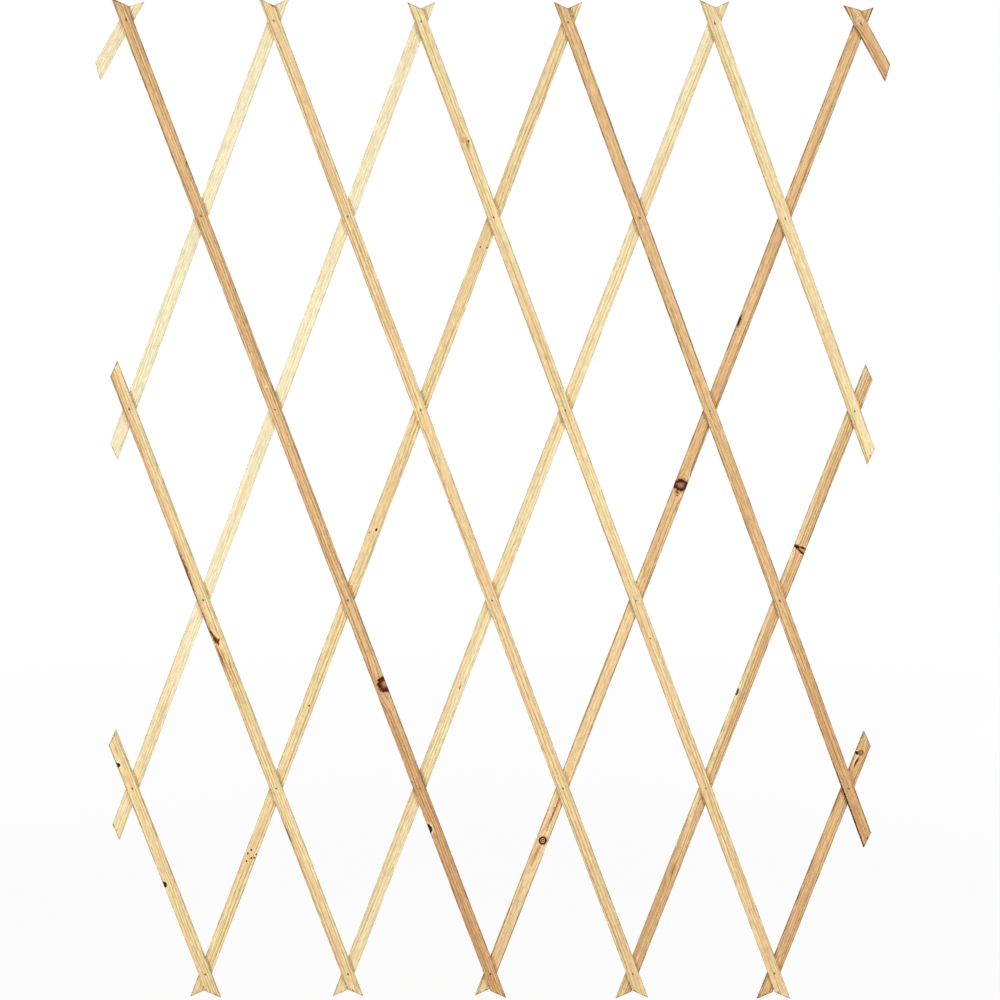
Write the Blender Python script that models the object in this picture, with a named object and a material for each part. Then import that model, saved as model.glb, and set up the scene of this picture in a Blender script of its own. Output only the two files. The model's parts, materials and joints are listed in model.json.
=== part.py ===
"""Expandable wooden fence: flat pine slats riveted into a lattice that folds.

The slats lie in two layers, face to face. Those in front run down to the right,
those behind run down to the left, and a small steel rivet pins each crossing, so
that the whole lattice opens and closes like scissors. The fence stands in the XZ
plane with its front towards -Y, half opened, as it is shown. The origin is on the
ground below the middle rivet of the bottom row. Metres, +Z up.
"""
import math
from collections import namedtuple

import bmesh
import bpy
from mathutils import Vector

# Lattice: rivets counted in rows from the top and in half cells from the centre line
ROWS = 6
EDGE_COLUMN = 5
RIVET_PITCH = 0.273
REST_LEAN = math.radians(20.7)

# Slats: the ends are sawn level and plumb with the lattice opened to SAWN_LEAN
SLAT_WIDTH = 0.0164
SLAT_THICKNESS = 0.006
SAWN_LEAN = math.radians(45.0)
ARRIS = 0.0004

# Cutting list: how far each slat reaches past its upper and its lower rivet, from the left
FRONT_OVERHANGS = ((0.074, 0.029), (0.057, 0.027), (0.025, 0.030), (0.0255, 0.030),
                   (0.0215, 0.0325), (0.023, 0.076), (0.027, 0.065), (0.0245, 0.073))
BACK_OVERHANGS = ((0.0235, 0.077), (0.026, 0.061), (0.0225, 0.065), (0.024, 0.029),
                  (0.026, 0.029), (0.0225, 0.028), (0.055, 0.033), (0.072, 0.034))

# Corner slats: one rivet each, so they hang at a lean of their own
CORNER_LEAN = math.radians(29.8)

# Rivets: steel pins with a countersunk head at both ends, set below the wood
SHANK_DIAMETER = 0.0016
HEAD_DIAMETER = 0.0026
HEAD_HEIGHT = 0.0007
HEAD_DEPTH = 0.0002
ROUND_SIDES = 12

# Gaps between pieces that touch
LAYER_GAP = 0.0003
RIVET_CLEARANCE = 0.0003

# Colours of the wood, slat by slat from the left, and of the steel
PINE = {
    "pale_pine": (0.82, 0.68, 0.42),
    "light_pine": (0.76, 0.58, 0.33),
    "tan_pine": (0.66, 0.45, 0.22),
}
FRONT_SHADES = ("light_pine", "light_pine", "tan_pine", "light_pine",
                "light_pine", "tan_pine", "light_pine", "tan_pine")
BACK_SHADES = ("pale_pine", "pale_pine", "pale_pine", "light_pine",
               "light_pine", "tan_pine", "tan_pine", "tan_pine")
STEEL = (0.16, 0.13, 0.10)

FRONT, BACK = -1, 1
BOTTOM_ROW = ROWS - 1
HALF_WIDTH = SLAT_WIDTH / 2
INNER_FACE = LAYER_GAP / 2
OUTER_FACE = INNER_FACE + SLAT_THICKNESS
CUTTER_REACH = 0.001

Layer = namedtuple("Layer", "side word overhangs shades")
LAYERS = (Layer(FRONT, "front", FRONT_OVERHANGS, FRONT_SHADES),
          Layer(BACK, "back", BACK_OVERHANGS, BACK_SHADES))
Slat = namedtuple("Slat", "name side rivets hinge_row lean upper lower material")


def material(name, colour, roughness, metallic):
    made = bpy.data.materials.new(name)
    made.use_nodes = True
    shader = made.node_tree.nodes["Principled BSDF"]
    shader.inputs["Base Color"].default_value = (*colour, 1.0)
    shader.inputs["Roughness"].default_value = roughness
    shader.inputs["Metallic"].default_value = metallic
    return made


def crossing(row, column):
    """Place of the rivet at a row and a half column, seen from the middle of the bottom row."""
    x = column * RIVET_PITCH * math.sin(REST_LEAN)
    z = (BOTTOM_ROW - row) * RIVET_PITCH * math.cos(REST_LEAN)
    return Vector((x, 0.0, z))


def slat_list():
    """Every slat of both layers, numbered from the left.

    Along a front slat the column grows with the row, along a back slat it shrinks.
    The slats that cross one of the two long slats from the middle of the bottom
    row hinge there, and the rest hinge on their lowest rivet.
    """
    slats = []
    for layer in LAYERS:
        number = 0
        for start in range(-EDGE_COLUMN - 2 * ROWS, EDGE_COLUMN + 2 * ROWS + 1, 2):
            rivets = [(row, start - layer.side * row) for row in range(ROWS)
                      if abs(start - layer.side * row) <= EDGE_COLUMN]
            if not rivets:
                continue
            meets_long_slat = (BOTTOM_ROW + layer.side * start) // 2
            hinge_row = min(BOTTOM_ROW, meets_long_slat)
            lean = CORNER_LEAN if len(rivets) == 1 else REST_LEAN
            upper, lower = layer.overhangs[number % len(layer.overhangs)]
            shade = layer.shades[number % len(layer.shades)]
            number += 1
            slats.append(Slat(f"{layer.word}_slat_{number}", layer.side, rivets, hinge_row,
                              lean, upper, lower, shade))
    return slats


def foot_drop(slats):
    """How far the longest foot's tip reaches below the bottom row of rivets."""
    longest = max(slat.lower for slat in slats if slat.rivets[-1][0] == BOTTOM_ROW)
    tip = longest + HALF_WIDTH * math.tan(SAWN_LEAN)
    return tip * math.cos(REST_LEAN) - HALF_WIDTH * math.sin(REST_LEAN)


def end_height(slat, end_row, direction, x):
    """Local height of a slat's sawn end at x, for its upper or its lower end."""
    at_level_edge = end_row == (0 if direction > 0 else BOTTOM_ROW)
    overhang = slat.upper if direction > 0 else slat.lower
    slope = math.tan(SAWN_LEAN) if at_level_edge else -1.0 / math.tan(SAWN_LEAN)
    middle = (slat.hinge_row - end_row) * RIVET_PITCH + direction * overhang
    return middle + slat.side * slope * x


def board_mesh(slat):
    """The slat's board: its sawn outline, extruded, with eased long edges."""
    top_row, low_row = slat.rivets[0][0], slat.rivets[-1][0]
    outline = [(x, end_height(slat, row, direction, x))
               for x, row, direction in ((-HALF_WIDTH, top_row, 1), (-HALF_WIDTH, low_row, -1),
                                         (HALF_WIDTH, low_row, -1), (HALF_WIDTH, top_row, 1))]
    front_y = -OUTER_FACE if slat.side == FRONT else INNER_FACE
    bm = bmesh.new()
    face = bm.faces.new([bm.verts.new((x, front_y, z)) for x, z in outline])
    made = bmesh.ops.extrude_face_region(bm, geom=[face])
    moved = [item for item in made["geom"] if isinstance(item, bmesh.types.BMVert)]
    bmesh.ops.translate(bm, verts=moved, vec=(0.0, SLAT_THICKNESS, 0.0))
    along = [edge for edge in bm.edges
             if abs(edge.verts[0].co.x - edge.verts[1].co.x) < SLAT_WIDTH / 4
             and abs(edge.verts[0].co.y - edge.verts[1].co.y) < SLAT_THICKNESS / 4]
    bmesh.ops.bevel(bm, geom=along, offset=ARRIS, segments=1, affect="EDGES")
    bmesh.ops.recalc_face_normals(bm, faces=bm.faces)
    mesh = bpy.data.meshes.new(slat.name)
    bm.to_mesh(mesh)
    bm.free()
    return mesh


def add_turned(bm, profile, z):
    """Add a closed body turned about the Y direction at height z, from (radius, y)."""
    ring = [bm.verts.new((radius, y, z)) for radius, y in profile]
    edges = [bm.edges.new(pair) for pair in zip(ring, ring[1:])]
    made = bmesh.ops.spin(bm, geom=ring + edges, cent=(0.0, 0.0, z), axis=(0.0, 1.0, 0.0),
                          angle=math.tau, steps=ROUND_SIDES, use_duplicate=False)
    return made


def turned_mesh(name, profile, heights):
    """One mesh with the same turned body at each of the given heights."""
    bm = bmesh.new()
    for z in heights:
        add_turned(bm, profile, z)
    bmesh.ops.remove_doubles(bm, verts=bm.verts, dist=1e-6)
    bmesh.ops.recalc_face_normals(bm, faces=bm.faces)
    mesh = bpy.data.meshes.new(name)
    bm.to_mesh(mesh)
    bm.free()
    return mesh


def hole_profile(side):
    """Bore with a countersink at the slat's outer face, wider than the rivet all round."""
    flare = (HEAD_DIAMETER - SHANK_DIAMETER) / 2 / HEAD_HEIGHT
    bore = SHANK_DIAMETER / 2 + RIVET_CLEARANCE
    side_step = RIVET_CLEARANCE * math.hypot(1.0, flare)
    head_root = OUTER_FACE - HEAD_DEPTH - HEAD_HEIGHT
    outer = OUTER_FACE + CUTTER_REACH
    mouth = SHANK_DIAMETER / 2 + side_step + flare * (outer - head_root)
    narrow = outer - (mouth - bore) / flare
    inner = INNER_FACE - CUTTER_REACH
    return [(0.0, side * outer), (mouth, side * outer), (bore, side * narrow),
            (bore, side * inner), (0.0, side * inner)]


def rivet_profile():
    shank, head = SHANK_DIAMETER / 2, HEAD_DIAMETER / 2
    face = OUTER_FACE - HEAD_DEPTH
    root = face - HEAD_HEIGHT
    return [(0.0, -face), (head, -face), (shank, -root), (shank, root), (head, face), (0.0, face)]


def add_object(name, mesh, place, lean, parent):
    made = bpy.data.objects.new(name, mesh)
    bpy.context.collection.objects.link(made)
    made.location = place
    made.rotation_euler = (0.0, lean, 0.0)
    made.parent = parent
    return made


def drill(board, slat):
    """Cut the slat's rivet holes with one hidden cutter."""
    heights = [(slat.hinge_row - row) * RIVET_PITCH for row, _ in slat.rivets]
    mesh = turned_mesh(f"{slat.name}_holes", hole_profile(slat.side), heights)
    cutter = add_object(f"{slat.name}_holes", mesh, (0.0, 0.0, 0.0), 0.0, board)
    cutter.hide_render = True
    cutter.display_type = "WIRE"
    cut = board.modifiers.new("rivet holes", "BOOLEAN")
    cut.operation = "DIFFERENCE"
    cut.solver = "EXACT"
    cut.object = cutter


def add_slat(slat, materials, parent):
    """A slat, with its origin on the rivet that it hinges on."""
    mesh = board_mesh(slat)
    mesh.materials.append(materials[slat.material])
    column = dict(slat.rivets)[slat.hinge_row]
    place = crossing(slat.hinge_row, column)
    board = add_object(slat.name, mesh, place, slat.side * slat.lean, parent)
    drill(board, slat)


def add_rivets(slats, steel, parent):
    """A rivet at each crossing, in rows from the top and numbered from the left."""
    mesh = turned_mesh("rivet", rivet_profile(), [0.0])
    mesh.materials.append(steel)
    mesh.shade_smooth()
    mesh.set_sharp_from_angle(angle=math.radians(30.0))
    crossings = {place for slat in slats for place in slat.rivets}
    for row in range(ROWS):
        columns = sorted(column for at_row, column in crossings if at_row == row)
        for number, column in enumerate(columns, start=1):
            name = f"rivet_row{row + 1}_{number}"
            add_object(name, mesh, crossing(row, column), 0.0, parent)


def main():
    for item in list(bpy.data.objects):
        bpy.data.objects.remove(item, do_unlink=True)
    materials = {name: material(name, colour, 0.6, 0.0) for name, colour in PINE.items()}
    steel = material("dark_steel", STEEL, 0.45, 0.9)
    slats = slat_list()
    base = add_object("fence", None, (0.0, 0.0, foot_drop(slats)), 0.0, None)
    for slat in slats:
        add_slat(slat, materials, base)
    add_rivets(slats, steel, base)


main()
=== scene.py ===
# %% [markdown]
# Expandable pine fence.
# The object is a garden trellis of thin pine slats in two layers, pinned at every crossing by a
# small steel rivet, so that it opens and closes like scissors. This lesson dresses its packed
# model, the frame: it keeps every place and size, and gives each slat the shape, the grain and
# the knots of a real sawn lath, and each rivet its worn steel head. Lengths are in metres, and
# in the patterns of the wood in millimetres.

# %% Load the frame
import json
import math
import random
from collections import namedtuple

import bpy
from mathutils import Matrix, Vector


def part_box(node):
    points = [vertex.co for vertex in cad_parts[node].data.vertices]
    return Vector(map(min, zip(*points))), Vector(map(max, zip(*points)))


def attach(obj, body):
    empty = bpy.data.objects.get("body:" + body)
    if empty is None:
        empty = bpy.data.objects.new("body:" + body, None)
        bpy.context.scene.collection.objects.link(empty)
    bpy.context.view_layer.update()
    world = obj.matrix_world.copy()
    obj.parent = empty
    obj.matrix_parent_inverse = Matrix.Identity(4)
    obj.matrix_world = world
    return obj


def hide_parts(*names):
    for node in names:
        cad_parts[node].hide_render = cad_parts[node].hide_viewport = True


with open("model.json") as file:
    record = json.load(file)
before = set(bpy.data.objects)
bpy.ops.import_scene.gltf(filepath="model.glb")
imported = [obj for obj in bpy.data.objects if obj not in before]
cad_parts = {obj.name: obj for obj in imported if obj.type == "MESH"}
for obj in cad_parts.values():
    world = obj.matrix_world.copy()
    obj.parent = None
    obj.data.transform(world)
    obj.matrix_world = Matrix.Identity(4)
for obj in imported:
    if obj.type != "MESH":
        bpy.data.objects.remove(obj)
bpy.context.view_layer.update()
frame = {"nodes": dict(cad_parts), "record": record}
MM = 0.001

# %% [markdown]
# Camera.
# A product photo of something flat is taken from well back, so that its parallel lines stay
# nearly parallel. The lattice itself tells where the camera stood: its crossings are evenly
# spaced, and how their spacing shrinks towards the foot gives the height and the tilt. The
# camera could be aimed with a Track To constraint, but three turns written out say exactly how
# it leans: turned about the vertical, tipped down, then rolled a little about its own axis.

# %% Camera
CAMERA_PLACE = (-0.0872, -4.0, 1.0896)
CAMERA_TURN = math.radians(-1.392)
CAMERA_DIP = math.radians(5.816)
CAMERA_ROLL = math.radians(0.261)
CAMERA_LENS = 108.38

camera = bpy.data.objects.new("camera", bpy.data.cameras.new("camera"))
bpy.context.scene.collection.objects.link(camera)
camera.data.lens = CAMERA_LENS
camera.data.clip_end = 200.0
camera.matrix_world = (Matrix.Translation(CAMERA_PLACE)
                       @ Matrix.Rotation(CAMERA_TURN, 4, "Z")
                       @ Matrix.Rotation(math.pi / 2 - CAMERA_DIP, 4, "X")
                       @ Matrix.Rotation(CAMERA_ROLL, 4, "Z"))
bpy.context.scene.camera = camera
bpy.context.scene.view_settings.view_transform = "Standard"
print("camera:", CAMERA_LENS, "mm lens, 4 m in front of the lattice")

# %% [markdown]
# Nodes.
# The materials, the slats and the rivets are all node trees. Building them in the script keeps
# every value readable. One function adds a node of any kind, sets its properties, fills its
# inputs, and hands back its first output, so that trees can be written like sums. Most are
# shader nodes, so it also puts the ShaderNode that their type names start with. Colours are
# written as the eye knows them, in sRGB, and turned to the linear values that light works in.

# %% Helpers for node trees
def used_socket(sockets, key):
    """The socket of that name, or at that place, among those that the node shows."""
    shown = [item for item in sockets if item.enabled]
    if isinstance(key, int):
        return shown[key]
    return next(item for item in shown if item.name == key)


def add(tree, kind, inputs=None, **settings):
    """Add a node, set its properties, fill or link its inputs, and return its first output."""
    node = tree.nodes.new(kind if "Node" in kind else "ShaderNode" + kind)
    for name, value in settings.items():
        setattr(node, name, value)
    for key, value in (inputs or {}).items():
        target = used_socket(node.inputs, key)
        if isinstance(value, bpy.types.NodeSocket):
            tree.links.new(value, target)
        else:
            target.default_value = value
    return used_socket(node.outputs, 0) if node.outputs else None


def linear(code, alpha=1.0):
    """The linear colour of an sRGB hex code."""
    parts = [int(code[place:place + 2], 16) / 255 for place in (1, 3, 5)]
    return (*(p / 12.92 if p <= 0.04045 else ((p + 0.055) / 1.055) ** 2.4 for p in parts), alpha)


def new_material(name):
    """An empty material and its node tree."""
    made = bpy.data.materials.new(name)
    made.use_nodes = True
    made.node_tree.nodes.clear()
    return made, made.node_tree


def new_group(name, kind, inputs, outputs):
    """An empty node group with named sockets, and the sockets that its inside reads."""
    tree = bpy.data.node_groups.new(name, kind)
    for way, sockets in (("INPUT", inputs), ("OUTPUT", outputs)):
        for title, sort in sockets.items():
            tree.interface.new_socket(title, in_out=way, socket_type="NodeSocket" + sort)
    add(tree, "NodeGroupInput")
    return tree, tree.nodes[0].outputs


def fill_ramp(output, stops):
    """Give a colour ramp its stops, each a place from 0 to 1, a colour and how far it covers."""
    elements = output.node.color_ramp.elements
    while len(elements) < len(stops):
        elements.new(1.0)
    for element, (place, code, cover) in zip(elements, stops):
        element.position = place
        element.color = linear(code, cover)


def fill_curve(output, spots, handle="AUTO"):
    """Give a Float Curve its points, each a place from 0 to 1 and a height."""
    points = output.node.mapping.curves[0].points
    while len(points) < len(spots):
        points.new(0.5, 0.5)
    for point, spot in zip(points, spots):
        point.location = spot
        point.handle_type = handle
    output.node.mapping.update()


print("helpers ready")

# %% [markdown]
# Studio.
# Such a fence is shown cut out on pure white. The floor is a plain pale plane that reads as
# white to the camera and to reflections, and near the fence it still keeps a trace of its
# shadow. The light is a bank of soft boxes on each side, each turned to its own half, so that a
# front slat lays its thin crisp shadow inwards on the slat behind it. The same two banks stand
# behind the fence, since it is looked at from both faces. The sky adds a low, even fill.

# %% Floor, sky and lamps
FLOOR_REACH = 60.0
SHADOW_REACH = (1.0, 3.5)
WHITE_SHARE = 0.94
FILL = 0.43
LAMP_SIZE = 0.2
LAMP_POWER = 2.9
LAMP_OUT = 1.45
LAMP_AWAY = 2.6
LAMP_HEIGHTS = (0.16, 1.34)
AIM_OUT = 0.5
BEAM_REACH = 1.8


def seen_share(tree):
    """1 where the camera or a reflection looks, and 0 where light is only gathered."""
    ray = add(tree, "LightPath").node.outputs
    total = ray["Is Camera Ray"]
    for name in ("Is Glossy Ray", "Is Transmission Ray"):
        total = add(tree, "Math", {0: total, 1: ray[name]}, operation="MAXIMUM")
    return total


def build_floor():
    """A plane far wider than the view, at the height that the fence stands on."""
    mesh = bpy.data.meshes.new("floor")
    corners = [(x * FLOOR_REACH, y * FLOOR_REACH, 0.0) for x, y in ((-1, -1), (1, -1), (1, 1), (-1, 1))]
    mesh.from_pydata(corners, [], [(0, 1, 2, 3)])
    floor = bpy.data.objects.new("floor", mesh)
    bpy.context.scene.collection.objects.link(floor)
    made, tree = new_material("matt white paper")
    place = add(tree, "TexCoord").node.outputs["Object"]
    away = add(tree, "VectorMath", {0: place}, operation="LENGTH").node.outputs["Value"]
    near, far = SHADOW_REACH
    share = add(tree, "MapRange", {0: away, 1: near, 2: far, 3: WHITE_SHARE, 4: 1.0})
    share = add(tree, "Math", {0: seen_share(tree), 1: share}, operation="MULTIPLY")
    paper = add(tree, "BsdfDiffuse", {"Color": linear("#f2f2f0")})
    white = add(tree, "Emission", {"Strength": 1.0})
    both = add(tree, "MixShader", {0: share, 1: paper, 2: white})
    add(tree, "OutputMaterial", {"Surface": both})
    mesh.materials.append(made)


def build_sky():
    """White to the eye, and a dimmer even fill to everything that it lights."""
    world = bpy.data.worlds.new("studio")
    world.use_nodes = True
    tree = world.node_tree
    tree.nodes.clear()
    strength = add(tree, "MapRange", {"Value": seen_share(tree), "To Min": FILL, "To Max": 1.0})
    sky = add(tree, "Background", {"Color": (1.0, 1.0, 1.0, 1.0), "Strength": strength})
    add(tree, "OutputWorld", {"Surface": sky})
    bpy.context.scene.world = world


def build_lamp(side, face, height):
    """A soft box beside the fence, in front of it or behind it, whose beam covers its own half."""
    lamp = bpy.data.lights.new("soft box", "AREA")
    lamp.size = LAMP_SIZE
    lamp.energy = LAMP_POWER
    place = Vector((side * LAMP_OUT, face * LAMP_AWAY, height))
    away = place - Vector((side * AIM_OUT, 0.0, height))
    lamp.spread = 2.0 * math.atan(BEAM_REACH / away.length)
    holder = bpy.data.objects.new(lamp.name, lamp)
    bpy.context.scene.collection.objects.link(holder)
    holder.matrix_world = Matrix.Translation(place) @ away.to_track_quat("Z", "Y").to_matrix().to_4x4()


build_floor()
build_sky()
for side in (-1, 1):
    for face in (-1, 1):
        for height in LAMP_HEIGHTS:
            build_lamp(side, face, height)
print("studio: white floor and sky,", len(bpy.data.lights), "soft boxes")

# %% [markdown]
# Where each slat lies.
# A slat is replaced by a finer mesh, so its place has to be read back from the frame and not
# typed again. The widest face that doesn't look forward or back is one of its long edges, and
# the way that face points gives the slat's lean. The heights of the four corners of its outline
# give both sawn ends. The rivets are found by their own boxes: those on a slat's middle line
# are its pins, and the name of a rivet says which row it is in.

# %% Read the slats from the frame
ON_LINE = 1.0 * MM
SAME_SPOT = 0.01 * MM
SIDEWAYS = 0.1
Slat = namedtuple("Slat", "name lean place pins low_row corners width side")
bodies = frame["record"]["behaviour"]["bodies"]
body_of = {node: body for body, nodes in bodies.items() for node in nodes}


def middle(node):
    """The middle of a piece's box."""
    low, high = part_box(node)
    return (low + high) / 2


rivets = {name: middle(name) for name in frame["nodes"] if name.startswith("rivet")}
slat_names = sorted(name for name in frame["nodes"] if "slat" in name)


def read_slat(name):
    """The slat's lean, its lowest pin, its pins' heights and its outline, in its own axes."""
    mesh = frame["nodes"][name].data
    edges = [face for face in mesh.polygons if abs(face.normal.y) < SIDEWAYS]
    edge = max(edges, key=lambda face: face.area)
    across = edge.normal * math.copysign(1.0, edge.normal.x)
    along = Vector((-across.z, 0.0, across.x))
    spots = [(vertex.co.dot(across), vertex.co.dot(along)) for vertex in mesh.vertices]
    left, right = min(x for x, z in spots), max(x for x, z in spots)
    low, high = min(z for x, z in spots), max(z for x, z in spots)
    pins = sorted((place.dot(along), rivet) for rivet, place in rivets.items()
                  if abs(place.dot(across) - (left + right) / 2) < ON_LINE and low < place.dot(along) < high)
    foot, lowest = pins[0]
    corners = {}
    for word, edge_x in (("Left", left), ("Right", right)):
        ends = [z - foot for x, z in spots if abs(x - edge_x) < SAME_SPOT]
        corners[f"Lower {word}"], corners[f"Upper {word}"] = min(ends), max(ends)
    place = Vector((rivets[lowest].x, middle(name).y, rivets[lowest].z))
    return Slat(name, math.atan2(-across.z, across.x), place, [z - foot for z, rivet in pins],
                int(lowest.split("_")[1][3:]) - 1, corners, right - left, math.copysign(1.0, place.y))


slats = [read_slat(name) for name in slat_names]
slat_low, slat_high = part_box("front_slat_4")
THICKNESS = slat_high.y - slat_low.y
longest = max(slats, key=lambda slat: len(slat.pins))
PITCH = longest.pins[1] - longest.pins[0]
WIDTH = longest.width
print("slats:", len(slats), "of", round(WIDTH / MM, 1), "by", round(THICKNESS / MM, 1),
      "mm, rivets", round(PITCH / MM, 1), "mm apart")

# %% [markdown]
# The slat.
# A lath is ripped from a board and crosscut to length: a flat bar with softly worn long edges,
# two raw sawn ends, and a small dent at every pin, where the setting punch crushed the wood
# along the grain. It could be modelled by hand from a cube, but sixteen slats differ only in
# length, ends and pins. So one Geometry Nodes tree sweeps a rounded section along a line, slants
# both ends, lets the edges wander by a few tenths of a millimetre as sawn wood does, cuts a hole
# and a dent at each point that it is given, and leans the slat into place. Before it leans, the
# tree stores each point's place in the slat's own axes, so that the grain follows the slat.

# %% A tree that grows a slat
ROUNDING_STEPS = 4
WANDER_RATE = 7.0
WANDER_FADE = 0.05
BORE_SIDES = 16
BORE_LENGTH = 4.0 * THICKNESS
SEAT_SIDES = 24
FLAT_FACE = 0.9999
SLAT_CRISP = math.radians(32.0)
SLAT_INPUTS = {
    "Pins": "Geometry", "Width": "Float", "Thickness": "Float", "Arris": "Float", "Rings": "Int",
    "Upper Left": "Float", "Upper Right": "Float", "Lower Left": "Float", "Lower Right": "Float",
    "Chip": "Float", "Wander": "Float", "Seed": "Float", "Dent": "Vector",
    "Dent Lift": "Float", "Bore Radius": "Float", "Seat Radius": "Float", "Seat Depth": "Float",
    "Side": "Float", "Lean": "Float", "Place": "Vector", "Wood": "Material",
}


def sweep_bar(tree, given):
    """A bar of unit height with a rounded section."""
    line = add(tree, "GeometryNodeCurvePrimitiveLine", {"End": (0.0, 0.0, 1.0)})
    spine = add(tree, "GeometryNodeResampleCurve", {"Curve": line, "Count": given["Rings"]})
    oblong = add(tree, "GeometryNodeCurvePrimitiveQuadrilateral",
                 {"Width": given["Width"], "Height": given["Thickness"]})
    section = add(tree, "GeometryNodeFilletCurve",
                  {"Curve": oblong, "Radius": given["Arris"], "Count": ROUNDING_STEPS}, mode="POLY")
    return add(tree, "GeometryNodeCurveToMesh",
               {"Curve": spine, "Profile Curve": section, "Fill Caps": True})


def shape_ends(tree, given, bar):
    """Stretch the bar between its slanted ends and let its long edges wander."""
    x, y, z = add(tree, "SeparateXYZ", {0: add(tree, "GeometryNodeInputPosition")}).node.outputs
    share = add(tree, "Math", {0: x, 1: given["Width"]}, operation="DIVIDE")
    share = add(tree, "Math", {0: share, 1: 0.5}, operation="ADD")
    part = add(tree, "MapRange", {0: z}, interpolation_type="SMOOTHSTEP")
    low = add(tree, "Mix", {"Factor": share, "A": given["Lower Left"], "B": given["Lower Right"]})
    high = add(tree, "Mix", {"Factor": share, "A": given["Upper Left"], "B": given["Upper Right"]})
    tip = add(tree, "Math", {0: given["Upper Left"], 1: given["Upper Right"]}, operation="MAXIMUM")
    tip = add(tree, "Math", {0: tip, 1: given["Chip"]}, operation="SUBTRACT")
    high = add(tree, "Math", {0: high, 1: tip}, operation="MINIMUM")
    height = add(tree, "Mix", {"Factor": part, "A": low, "B": high})
    above = add(tree, "Math", {0: height, 1: low}, operation="SUBTRACT")
    below = add(tree, "Math", {0: high, 1: height}, operation="SUBTRACT")
    nearest = add(tree, "Math", {0: above, 1: below}, operation="MINIMUM")
    drift = add(tree, "Math", {0: height, 1: given["Seed"]}, operation="ADD")
    noise = add(tree, "TexNoise", {"W": drift, "Scale": WANDER_RATE, "Detail": 1.0},
                noise_dimensions="1D")
    noise = add(tree, "Math", {0: noise, 1: 0.5}, operation="SUBTRACT")
    reach = add(tree, "MapRange", {0: nearest, 2: WANDER_FADE, 3: 0.0, 4: given["Wander"]})
    x = add(tree, "Math", {0: noise, 1: reach, 2: x}, operation="MULTIPLY_ADD")
    place = add(tree, "CombineXYZ", {0: x, 1: y, 2: height})
    return add(tree, "GeometryNodeSetPosition", {"Geometry": bar, "Position": place})


def pin_hole(tree, given):
    """What is cut away at each pin: a bore, the seat of the head, and a dent along the grain."""
    bore = add(tree, "GeometryNodeMeshCylinder",
               {"Vertices": BORE_SIDES, "Radius": given["Bore Radius"], "Depth": BORE_LENGTH})
    seat = add(tree, "GeometryNodeMeshCone", {"Vertices": SEAT_SIDES, "Radius Top": given["Bore Radius"],
                                              "Radius Bottom": given["Seat Radius"],
                                              "Depth": given["Seat Depth"]})
    turned = add(tree, "GeometryNodeJoinGeometry", {0: bore})
    tree.links.new(seat, turned.node.inputs[0])
    quarter = add(tree, "Math", {0: given["Side"], 1: math.pi / 2}, operation="MULTIPLY")
    turn = add(tree, "CombineXYZ", {0: quarter})
    turned = add(tree, "GeometryNodeTransform", {"Geometry": turned, "Rotation": turn})
    ball = add(tree, "GeometryNodeMeshUVSphere",
               {"Segments": SEAT_SIDES, "Rings": SEAT_SIDES // 2, "Radius": 1.0})
    lift = add(tree, "Math", {0: given["Dent Lift"], 1: given["Side"]}, operation="MULTIPLY")
    lift = add(tree, "CombineXYZ", {1: lift})
    dent = add(tree, "GeometryNodeTransform",
               {"Geometry": ball, "Scale": given["Dent"], "Translation": lift})
    cut = add(tree, "GeometryNodeJoinGeometry", {0: turned})
    tree.links.new(dent, cut.node.inputs[0])
    face = add(tree, "Math", {0: given["Thickness"], 1: given["Side"]}, operation="MULTIPLY")
    face = add(tree, "Math", {0: face, 1: 0.5}, operation="MULTIPLY")
    out = add(tree, "CombineXYZ", {1: face})
    return add(tree, "GeometryNodeTransform", {"Geometry": cut, "Translation": out})


def keep_crisp(tree, shape, angle):
    """Smooth shading, but for the two flat faces and for edges that turn by more than an angle."""
    turn = add(tree, "GeometryNodeInputMeshEdgeAngle")
    crisp = add(tree, "FunctionNodeCompare", {"A": turn, "B": angle}, operation="GREATER_THAN")
    facing = add(tree, "SeparateXYZ", {0: add(tree, "GeometryNodeInputNormal")}).node.outputs["Y"]
    facing = add(tree, "Math", {0: facing}, operation="ABSOLUTE")
    flat = add(tree, "FunctionNodeCompare", {"A": facing, "B": FLAT_FACE}, operation="GREATER_THAN")
    round_face = add(tree, "FunctionNodeBooleanMath", {0: flat}, operation="NOT")
    shape = add(tree, "GeometryNodeSetShadeSmooth", {"Geometry": shape, "Shade Smooth": round_face})
    return add(tree, "GeometryNodeSetShadeSmooth",
               {"Geometry": shape, "Selection": crisp, "Shade Smooth": False}, domain="EDGE")


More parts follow.
